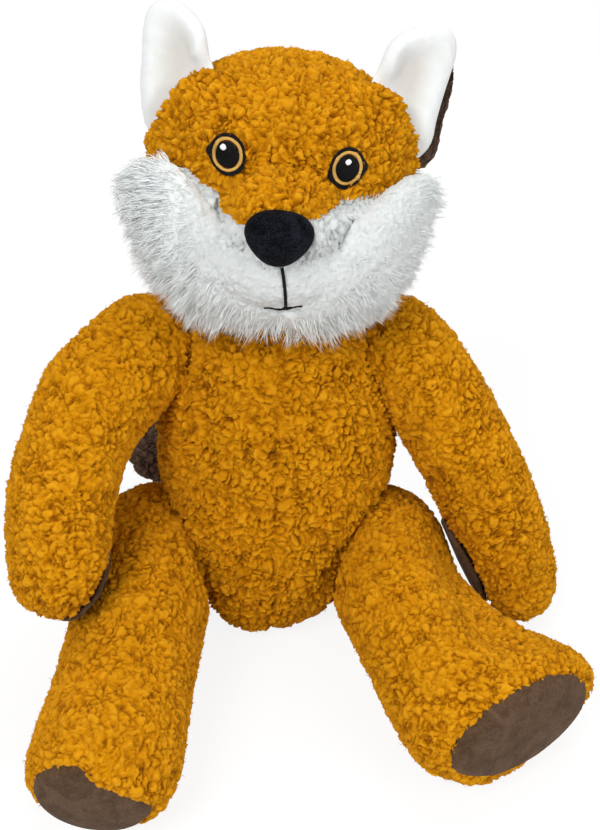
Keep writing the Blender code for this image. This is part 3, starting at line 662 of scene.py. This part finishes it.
for side in SIDE:
    palm = padded_out(f"palm_plush_{side}", f"palm_pad_{side}", GRAIN * 0.7, 4)
    apply_modifier(palm, "DISPLACE", strength=0.0010, mid_level=0.0)
    for pull in PULLS[f"arm_{side}"]:
        draw_out(palm, *pull)
    palm_skin = BVHTree.FromPolygons(
        [v.co for v in palm.data.vertices], [p.vertices[:] for p in palm.data.polygons]
    )
    dress(palm, BROWN_PLUSH, f"arm_{side}", (f"palm_pad_{side}",))

    def under_palm(points):
        """The pile is trimmed where the palm is sewn on, and darkened there with painted shade."""
        gaps = [palm_skin.find_nearest(Vector(p), 0.008)[3] for p in points]
        return ease(0.0026, 0.0012, np.array([0.009 if gap is None else gap for gap in gaps])) * 1.15

    for limb in ("arm", "leg"):
        body = f"{limb}_{side}"
        skin = stuffed(f"{body}_pile", (f"{body}_cover",), f"{body}_stuffing")
        for pull in PULLS[body]:
            draw_out(skin, *pull)
        seams = under_palm if limb == "arm" else None
        seed = 20 + len(body) + SIDE[side]
        raise_pile(skin, GOLDEN_LUMP, LIMB_RISE[limb], seed, seams)
        fuzz(skin, 4200, FIBRE_LENGTH, GOLDEN_LUMP, seed)
        dress(skin, GOLDEN_PILE, body, (f"{body}_cover", f"{body}_stuffing"))
    sole = padded_out(f"sole_plush_{side}", f"sole_pad_{side}", GRAIN, 10)
    if side == "right":
        draw_out(sole, *SOLE_PULL)
    crown_sole(sole, SOLE_GROWTH[side])
    dress(sole, BROWN_PLUSH, f"leg_{side}", (f"sole_pad_{side}",))

# Tail, golden with a brown tip
TIP_SEAM = (-0.0389, 0.0880, 0.0284)
TIP_LINE = (-0.973, -0.051, 0.2245)
tail = stuffed("tail_pile", ("tail_cover", "tail_tip"), "tail_stuffing")
draw_out(tail, (-0.064, 0.065, 0.031), (-0.066, 0.067, 0.040), 0.022, (-0.001, -0.008, -0.006))
raise_pile(tail, GOLDEN_LUMP, 0.0024, 31)
tip = tail.copy()
tip.data = tail.data.copy()
bpy.context.scene.collection.objects.link(tip)
rename(tip, "tail_tip_pile")
for piece, before in ((tail, False), (tip, True)):
    split = {"plane_co": TIP_SEAM, "plane_no": TIP_LINE, "use_fill": True}
    edit(piece, (bpy.ops.mesh.bisect, {**split, "clear_inner": before, "clear_outer": not before}))
fuzz(tail, 1200, FIBRE_LENGTH, GOLDEN_LUMP, 31)
fuzz(tip, 600, FIBRE_LENGTH, GOLDEN_LUMP, 31)
dress(tail, GOLDEN_PILE, "tail", ("tail_cover", "tail_stuffing"))
dress(tip, BROWN_PILE, "tail", ("tail_tip",))

# Head
EAR_OUT = 0.0424
EAR_LIFT = 0.0265
EAR_FORWARD = 0.007
EAR_SLOPE = math.radians(52.0)
EAR_LEAN = math.radians(31.0)
# Where the gold ends and the white begins, across and up in the head's own frame
WHITE_EDGE = (
    (-0.060, -0.004), (-0.053, -0.003), (-0.047, 0.0015), (-0.039, 0.0045),
    (-0.032, 0.0005), (-0.0265, 0.000),
    (-0.0245, -0.0056), (-0.015, -0.0054), (-0.012, -0.009), (0.007, -0.007), (0.010, -0.001),
    (0.021, 0.000), (0.026, 0.0012), (0.060, 0.002),
)


def ear_lines(side):
    """The ear's middle on the head, then the ways its base, its point and its lining face."""
    sign = SIDE[side]
    middle = from_head([[sign * EAR_OUT, -EAR_FORWARD, EAR_LIFT]])[0]
    base = HEAD_TURN @ np.array((-sign * math.cos(EAR_SLOPE), 0, math.sin(EAR_SLOPE)))
    outward = HEAD_TURN @ np.array((sign * math.sin(EAR_SLOPE), 0, math.cos(EAR_SLOPE)))
    back = HEAD_TURN @ np.array((0.0, 1.0, 0.0))
    point = outward * math.cos(EAR_LEAN) + back * math.sin(EAR_LEAN)
    return middle, base, point, np.cross(point, base) * sign


def white_share(points):
    """How far a place on the face lies below the gold, in metres."""
    own = to_head(points)
    edge = np.interp(own[:, 0], *np.array(WHITE_EDGE).T)
    return np.where(own[:, 1] < -0.006, edge - own[:, 2], -1.0)


crown = stuffed("head_pile", ("head_crown",), "head_stuffing")
for side in SIDE:
    middle, base, point, ahead = ear_lines(side)
    lip = middle + ahead * 0.005
    for low, high, up in ((-0.023, 0.035, 0.0072), (0.006, 0.035, 0.0024)):
        draw_out(
            crown,
            lip + base * low,
            lip + base * high,
            0.0080,
            point * up + ahead * 0.0014,
            lambda points: ease(-0.001, 0.002, (points - middle) @ ahead),
        )
draw_out(crown, in_head(-0.053, -0.010, -0.004), in_head(-0.053, -0.008, 0.004), 0.010, (-0.0022, 0.0, 0.0))
draw_out(crown, in_head(0.054, -0.010, 0.000), in_head(0.052, -0.006, 0.020), 0.013, (-0.0014, 0.0, 0.0))
below_gold = ease(0.0005, 0.0075, white_share(places(crown)))
put(crown, places(crown) + normals(crown) * (below_gold * 0.0058)[:, None])
raise_pile(crown, CROWN_LUMP, 0.0031, 41)
fuzz(crown, 6000, FIBRE_LENGTH, CROWN_LUMP, 41)
dress(crown, GOLDEN_PILE, "head", ("head_crown", "head_stuffing"))
lay(crown, WHITE_PILE, white_share)

# White face: the short pile of the muzzle, run on over the inner cheeks
face = twin("muzzle_pile", "muzzle", "cheek_ruff_left", "cheek_ruff_right")
apply_modifier(face, "REMESH", mode="VOXEL", voxel_size=GRAIN * 1.1, adaptivity=0.0)
face = biggest(face)
apply_modifier(face, "SMOOTH", factor=0.5, iterations=40)
draw_out(face, in_head(-0.066, -0.012, 0.003), in_head(-0.052, -0.020, 0.004), 0.010, (0.002, 0.001, -0.0062))
chin = face.closest_point_on_mesh(in_head(0.003, -0.060, -0.047))
draw_out(face, chin[1], chin[1], 0.0052, chin[2] * 0.0022)
raise_pile(face, 0.0028, 0.0012, 51)
dress(face, WHITE_PILE, "head", ("muzzle",))

nose = apply_modifier(twin("nose_felt", "nose"), "SUBSURF", levels=2, render_levels=2)
dress(nose, BLACK_FELT, "head", ("nose",))

# Cheek ruffs: long fur that flows out from the face, short beside the muzzle
RUFF_HEART = {"left": 0.003, "right": 0.015}
RUFF_REACH = {"left": 0.0118, "right": 0.0090}
RUFF_DEPTH = {"left": 0.0010, "right": 0.0038}
RUFF_LOW = 0.0132
RUFF_PINCH = {"left": 0.18, "right": 0.32}
skull = BVHTree.FromPolygons(
    [v.co for v in crown.data.vertices], [p.vertices[:] for p in crown.data.polygons]
)


def long_fur(sign):
    """Keeps the roots on one cheek, off what lies on the head, short of the muzzle."""

    def keep(middles):
        own = to_head(middles)
        from_nose = np.hypot(own[:, 0], (own[:, 2] + 0.012) * 0.9)
        side = own[:, 0] * sign > 0
        chin_thin = np.exp(-(((own[:, 0] - 0.003) / 0.012) ** 2)) * ease(-0.040, -0.046, own[:, 2])
        far = np.ones(len(middles))
        near = np.nonzero(side)[0]
        far[near] = [skull.find_nearest(Vector(p))[3] > 0.004 for p in middles[near]]
        return side * far * (1 - 0.75 * chin_thin) * ease(0.025, 0.038, from_nose)

    return keep


def cheek_top(sign):
    """Keeps the roots on the head's own white edge, outside the muzzle."""

    def keep(middles):
        own = to_head(middles)
        below = white_share(middles)
        return (below > 0) * (below < 0.011) * (own[:, 0] * sign > 0.034)

    return keep


for side, sign in SIDE.items():
    many = 6000
    roots, out, _ = scatter(face, many, 60 + sign, long_fur(sign))
    more, more_out, _ = scatter(crown, many // 9, 64 + sign, cheek_top(sign))
    roots, out = np.concatenate([roots, more]), np.concatenate([out, more_out])
    own = to_head(roots)
    away = np.stack([own[:, 0], np.zeros(len(own)), own[:, 2] + RUFF_HEART[side]], -1)
    away[:, 1] = 0.35 * np.linalg.norm(away, axis=1)
    away = unit(away) @ HEAD_TURN.T
    flow = unit(away - out * np.sum(away * out, -1, keepdims=True) * 0.85)
    chance = np.random.default_rng(71 + sign)
    stray = wander(roots / 0.011, 75) * 0.24 + chance.normal(size=roots.shape) * 0.07
    lines = unit(flow + out * 0.20 + stray)
    reach = ease(0.028, 0.052, np.hypot(own[:, 0], own[:, 2] + 0.010))
    low = ease(-0.012, -0.045, own[:, 2])
    corner = ease(0.020, 0.040, np.abs(own[:, 0])) * ease(-0.010, -0.026, own[:, 2])
    full = (RUFF_REACH[side] * (1 - low) + RUFF_LOW * low) * (1 - RUFF_PINCH[side] * corner)
    lengths = (0.0045 + (full - 0.0045) * reach) * (0.65 + 0.5 * chance.random(len(roots)))
    depth = 0.0010 + (RUFF_DEPTH[side] - 0.0010) * reach * (1 - low)
    fur = grow(
        f"ruff_fur_{side}",
        roots - out * depth[:, None],
        lines,
        lengths,
        np.full(len(roots), 0.00046),
        np.array((0.0, 0.0, -0.22)),
        curl=0.05,
        steps=4,
        gather=14,
        seed=80 + sign,
    )
    dress(fur, WHITE_FUR, "head", (f"cheek_ruff_{side}",))


def bright_cheek(points):
    """Above zero on the left cheek, outside the muzzle, where the light falls and a lighter copy of the white
    pile paints it.
    """
    own = to_head(points)
    return np.minimum(np.hypot(own[:, 0], own[:, 2] + 0.012) - 0.041, 0.004 - own[:, 0])


# Painted light: the lit part of the left cheek gets the lighter copy of the white pile.
lay(face, LIT_CHEEK_PILE, bright_cheek)

# Ears, each a soft triangle with a puffed rim and a dent, its outline along its base and its point
EAR_OUTLINES = {
    "left": (
        (-17, -6), (-22.7, 3), (-19.4, 9.5), (-12.4, 19), (-5.4, 25.2), (1.1, 31), (7.4, 35.4),
        (12.9, 36.8), (18.3, 34.8), (21.9, 29.8), (23.4, 22.6), (22.0, 13), (17, 5), (10, -5),
    ),
    "right": (
        (-18, -6), (-22.6, 4.2), (-15.7, 14.8), (-9.7, 23.4), (-4.2, 30.9), (0.8, 36.9), (6.3, 40.4),
        (11.9, 40.2), (16.4, 36.3), (20.1, 30.6), (22.3, 23.4), (22.2, 15), (18, 6), (10, -5),
    ),
}
EAR_BACK_SHOWS = {"left": 0.0, "right": 6.0}
EAR_MIDDLES = {"left": (9.0, 14.0), "right": (8.0, 15.5)}


def closed_curve(stops, finer=12):
    """A smooth closed line through its stops."""
    stops = np.array(stops, float)
    made = []
    for k in range(len(stops)):
        p, q, r, s = (stops[(k + n) % len(stops)] for n in (-1, 0, 1, 2))
        for t in np.linspace(0, 1, finer, endpoint=False):
            made.append(
                q + 0.5 * t * (r - p + t * (2 * p - 5 * q + 4 * r - s + t * (3 * (q - r) + s - p)))
            )
    return np.array(made)


def ear_layer(name, side, front, segments, rings):
    """One cloth of the ear: a flattened ball drawn out to the ear's outline."""
    bpy.ops.mesh.primitive_uv_sphere_add(segments=segments, ring_count=rings, radius=1)
    layer = rename(bpy.context.object, name)
    ball = places(layer)
    middle, base, point, facing = ear_lines(side)
    heart = np.array(EAR_MIDDLES[side])
    edge = closed_curve(EAR_OUTLINES[side]) - heart
    if not front:
        edge *= 1 - 1.5 / np.linalg.norm(edge, axis=1, keepdims=True)
        edge[:, 0] -= EAR_BACK_SHOWS[side] * ease(4, -14, edge[:, 0]) * ease(26, 12, edge[:, 1])
    angles = np.arctan2(edge[:, 1], edge[:, 0])
    order = np.argsort(angles)
    reach = np.linalg.norm(edge, axis=1)[order]
    around = np.arctan2(ball[:, 1], ball[:, 0])
    radius = np.interp(around, angles[order], reach, period=2 * math.pi)
    share = np.sqrt(np.clip(1 - ball[:, 2] ** 2, 0, 1))
    share = np.sin(np.pi / 2 * share) ** 0.9
    spot = heart + np.stack([np.cos(around), np.sin(around)], -1) * (radius * share)[:, None]
    edge_fall = np.sqrt(np.clip(1 - share**5, 0, 1))
    if front:
        raised = 0.2 + 4.4 * ease(0.18, 0.80, share)
        sunk = np.where(ball[:, 2] > 0, raised * edge_fall, -0.15)
    else:
        sunk = np.where(ball[:, 2] < 0, -(3.6 + 0.6 * ease(0.2, 0.8, share)) * edge_fall, -0.45)
    rooted = ease(0, 11, spot[:, 1])
    sunk = sunk * (0.40 + 0.60 * rooted) - 2.4 * (1 - rooted)
    lift = sunk * 0.001 - 0.003 * np.sin(np.pi * np.clip(spot[:, 1] / 40, 0, 1))
    made = middle + (base * spot[:, :1] + point * spot[:, 1:]) * 0.001 + facing * lift[:, None]
    put(layer, made)
    # Painted shade: the middle of the lining's dent, low on the ear, is marked to be greyed.
    mark(layer, "dent_shade", ease(0.72, 0.15, share) * ease(31, 22, spot[:, 1]))
    return edit(layer, (bpy.ops.mesh.normals_make_consistent, {"inside": False}))


for side in SIDE:
    lining = ear_layer(f"ear_lining_{side}", side, True, 96, 64)
    dress(lining, WHITE_PLUSH, f"ear_{side}", (f"ear_{side}_lining",))
    back = ear_layer(f"ear_pile_{side}", side, False, 180, 120)
    raise_pile(back, 0.0026, 0.0014, 90)
    dress(back, BROWN_PILE, f"ear_{side}", (f"ear_{side}_back",))


# Embroidered eyes and mouth: one stitch, copied along each line
def stitches(name, starts, ends, out, width, height):
    """Satin stitches, each a rounded thread from its start to its end."""
    bpy.ops.mesh.primitive_uv_sphere_add(segments=6, ring_count=6, radius=1)
    one = bpy.context.object
    shape = places(one)
    shape = np.sign(shape) * np.abs(shape) ** np.array((0.8, 0.8, 0.6))
    faces = np.array([list(f.vertices) + [-1] * (4 - len(f.vertices)) for f in one.data.polygons])
    bpy.data.objects.remove(one)
    starts, ends, out = np.asarray(starts), np.asarray(ends), np.asarray(out)
    line = (ends - starts) / 2
    across = unit(np.cross(line, out))
    up = unit(np.cross(across, line))
    points = (
        ((starts + ends) / 2)[:, None]
        + shape[None, :, 2:] * line[:, None]
        + shape[None, :, :1] * across[:, None] * width / 2
        + shape[None, :, 1:2] * up[:, None] * height / 2
    )
    per = len(shape)
    made = []
    for k in range(len(starts)):
        made.extend([i + k * per for i in face if i >= 0] for face in faces)
    mesh = bpy.data.meshes.new(name)
    mesh.from_pydata(points.reshape(-1, 3), [], made)
    piece = bpy.data.objects.new(name, mesh)
    bpy.context.scene.collection.objects.link(piece)
    return edit(piece, (bpy.ops.mesh.normals_make_consistent, {"inside": False}))


def in_eye(side, across, up, lift):
    """A place on the eye, in metres across and up from its middle, on the curve of the face."""
    sign = SIDE[side]
    across, up = np.broadcast_arrays(np.asarray(across, float), np.asarray(up, float))
    own = np.stack([EYE_PLACES[side][0] + across, np.full(across.shape, -0.2), EYE_PLACES[side][1] + up], -1)
    spots = from_head(own)
    line = Vector(HEAD_TURN @ np.array((0.0, 1.0, 0.0)))
    found = []
    for spot in spots.reshape(-1, 3):
        hit, facing, _, _ = brow.ray_cast(Vector(spot), line)
        found.append(hit + facing * lift)
    return np.array([tuple(f) for f in found]).reshape(spots.shape)


EYE_PLACES = {"left": (-0.0230, 0.0133), "right": (0.0225, 0.0122)}
brow_skin = twin("brow_skin", "head_crown")
apply_modifier(brow_skin, "SUBSURF", levels=1, render_levels=1)
brow = BVHTree.FromPolygons(
    [v.co for v in brow_skin.data.vertices], [p.vertices[:] for p in brow_skin.data.polygons]
)
bpy.data.objects.remove(brow_skin)


def eye_ring(name, side, inner, outer, count, lift, width, height):
    """Stitches laid side by side round an oval, from its inner edge to its outer one."""
    turn = np.linspace(0, 2 * math.pi, count, endpoint=False)
    a, b = inner(turn), outer(turn)
    starts = in_eye(side, a[0], a[1], lift)
    ends = in_eye(side, b[0], b[1], lift)
    away = HEAD_TURN @ np.array((0.0, -1.0, 0.0))
    return stitches(name, starts, ends, np.broadcast_to(away, starts.shape), width, height)


def oval(wide, high, *corners):
    """A line round an oval, drawn out at corners given by how far and at what angle."""

    def line(turn):
        x, y = wide * np.cos(turn), high * np.sin(turn)
        for far, at in corners:
            out = np.exp(-((np.angle(np.exp(1j * (turn - at))) / 0.32) ** 2)) * far
            x, y = x + out * np.cos(at), y + out * np.sin(at)
        return np.stack([x, y])

    return line


for side, sign in SIDE.items():
    outer_corner = math.pi if sign < 0 else 0.0
    inner_corner = -0.75 if sign < 0 else math.pi + 0.35
    rim = eye_ring(
        f"eye_outline_{side}",
        side,
        oval(0.0057, 0.0060),
        oval(0.0070, 0.0074, (0.0016, outer_corner), (0.0008, inner_corner)),
        120,
        0.0016,
        0.00048,
        0.0007,
    )
    dress(rim, BLACK_THREAD, "head", (f"eye_{side}",))
    iris = eye_ring(
        f"eye_iris_{side}", side, oval(0.0045, 0.0049), oval(0.0059, 0.0060), 96, 0.0020, 0.00042, 0.0007
    )
    dress(iris, AMBER_THREAD, "head")
    rows = np.linspace(-0.95, 0.95, 30)
    half = 0.0048 * np.sqrt(1 - rows**2)
    starts = in_eye(side, rows * 0.0045, -half, 0.0020)
    ends = in_eye(side, rows * 0.0045, half, 0.0020)
    away = np.broadcast_to(HEAD_TURN @ np.array((0.0, -1.0, 0.0)), starts.shape)
    pupil = stitches(f"eye_pupil_{side}", starts, ends, away, 0.00048, 0.0016)
    dress(pupil, BLACK_THREAD, "head")
    rows = np.linspace(-0.9, 0.9, 8)
    half = 0.0011 * np.sqrt(1 - rows**2)
    spot = (-0.0016, 0.0022) if sign < 0 else (-0.0002, 0.0022)
    starts = in_eye(side, rows * 0.0011 + spot[0], spot[1] - half, 0.0028)
    ends = in_eye(side, rows * 0.0011 + spot[0], spot[1] + half, 0.0028)
    glint = stitches(f"eye_glint_{side}", starts, ends, away[: len(rows)], 0.0005, 0.0009)
    dress(glint, WHITE_THREAD, "head")

# Mouth: a line down from the nose and a short smile, in small stitches over the pile
lips = BVHTree.FromPolygons(
    [v.co for v in face.data.vertices], [p.vertices[:] for p in face.data.polygons]
)


def on_muzzle(x, z):
    """A place on the muzzle's pile, by its place across and up in the head's frame."""
    line = Vector(HEAD_TURN @ np.array((0.0, 1.0, 0.0)))
    hit = lips.ray_cast(Vector(from_head([[x, -0.15, z]])[0]), line)[0]
    return np.array(hit) - np.array(line) * 0.0004


down = [
    on_muzzle(0.0003 + 0.0034 * t + 0.0005 * math.sin(t * 3.0), -0.0195 - 0.0208 * t)
    for t in np.linspace(0, 1, 12)
]
smile = [
    on_muzzle(0.0028 + 0.0072 * t, -0.0408 + 0.0013 * t + 0.0006 * math.sin(t * 2.6))
    for t in np.linspace(-1, 1, 9)
]
starts = np.array(down[:-1] + smile[:-1])
ends = np.array(down[1:] + smile[1:])
away = np.broadcast_to(HEAD_TURN @ np.array((0.0, -1.0, 0.0)), starts.shape)
more = (ends - starts) * 0.25
thick = np.concatenate([np.full(11, 0.0015), 0.0006 + 0.0009 * (1 - np.abs(np.linspace(-1, 1, 8)))])
mouth = stitches("mouth_thread", starts - more, ends + more, away, thick[:, None, None], 0.0014)
dress(mouth, BLACK_THREAD, "head", ("mouth_stitch",))


# Floor, light and camera
def soft_lamp(name, place, aim, size, power):
    bpy.ops.object.light_add(type="AREA", location=place)
    lamp = bpy.context.object
    lamp.name = name
    lamp.data.shape = "DISK"
    lamp.data.size = size
    lamp.data.energy = power
    lamp.rotation_euler = (Vector(aim) - Vector(place)).to_track_quat("-Z", "Y").to_euler()
    return lamp


bpy.ops.mesh.primitive_circle_add(vertices=96, radius=4.0, fill_type="NGON", location=(0, 0, 0))
floor = rename(bpy.context.object, "pale_floor")
floor_material = bpy.data.materials.new("pale_floor")
floor_material.use_nodes = True
tree = floor_material.node_tree
plain = tree.nodes["Principled BSDF"]
plain.inputs["Base Color"].default_value = (0.9, 0.9, 0.9, 1)
plain.inputs["Roughness"].default_value = 0.9
glow = add(tree, "ShaderNodeEmission", {"Color": (1, 1, 1, 1), "Strength": 1.04})
rays = add(tree, "ShaderNodeLightPath")
seen = add(tree, "ShaderNodeMath", {0: rays.outputs["Is Camera Ray"], 1: 0.84}, operation="MULTIPLY")
both = add(
    tree, "ShaderNodeMixShader", {0: seen.outputs[0], 1: plain.outputs[0], 2: glow.outputs[0]}
)
tree.links.new(both.outputs[0], tree.nodes["Material Output"].inputs["Surface"])
floor.data.materials.append(floor_material)

soft_lamp("key_lamp", (-0.7, -1.1, 1.5), (0, 0, 0.12), 0.9, 19)
soft_lamp("fill_lamp", (1.2, -0.9, 0.9), (0, 0, 0.12), 1.0, 8.5)
soft_lamp("top_lamp", (0.1, 0.5, 1.7), (0, 0, 0.15), 1.0, 10)

world = bpy.data.worlds.new("studio")
bpy.context.scene.world = world
world.use_nodes = True
tree = world.node_tree
tree.nodes["Background"].inputs["Color"].default_value = (1, 1, 1, 1)
rays = add(tree, "ShaderNodeLightPath")
level = add(
    tree, "ShaderNodeMath", {0: rays.outputs["Is Camera Ray"], 1: 0.62, 2: 0.38}, operation="MULTIPLY_ADD"
)
tree.links.new(level.outputs[0], tree.nodes["Background"].inputs["Strength"])

eye_place = Vector((0.014, -0.5132, 0.4931))
aim = Vector((0.014, -0.018, 0.120))
bpy.ops.object.camera_add(location=eye_place)
camera = bpy.context.object
camera.data.lens = 62.0
camera.data.sensor_width = 36.0
camera.data.clip_start = 0.01
camera.rotation_euler = (aim - eye_place).to_track_quat("-Z", "Y").to_euler()
bpy.context.scene.camera = camera
bpy.context.scene.view_settings.view_transform = "Standard"
